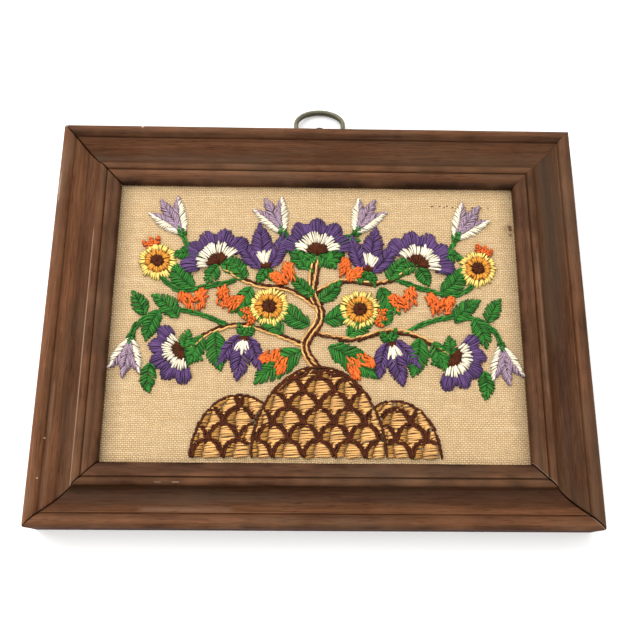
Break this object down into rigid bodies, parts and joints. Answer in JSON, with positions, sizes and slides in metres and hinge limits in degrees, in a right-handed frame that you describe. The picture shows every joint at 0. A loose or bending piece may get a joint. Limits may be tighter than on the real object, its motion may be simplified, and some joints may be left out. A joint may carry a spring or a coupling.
{
  "type": "crewel embroidery panel in a wooden frame",
  "caption": "Wool crewel work on linen, stretched in a mitred, dark-stained wooden frame that lies on its back, with a brass hanging ring in an eye at the top.",
  "frame": {"origin": "on the surface, under the middle of the whole object's box, hanging ring and all; the frame's own middle lies 9.3 mm towards -Y from it", "axes": "+X to the right along the long sides, +Y up the picture towards the ring, +Z out of the picture's face; the panel lies on its back"},
  "size_m": [0.2226, 0.1904, 0.019],
  "materials": {
    "stained_wood": "dark walnut stain with a worn satin polish",
    "worked_linen": "natural plain-weave linen worked in coloured wool",
    "aged_brass": "dulled, greenish brass"
  },
  "bodies": {
    "root": {"rail_top": "stained_wood", "rail_bottom": "stained_wood", "rail_left": "stained_wood", "rail_right": "stained_wood", "embroidered_linen": "worked_linen", "screw_eye": "aged_brass", "hanging_ring": "aged_brass"}
  },
  "joints": []
}
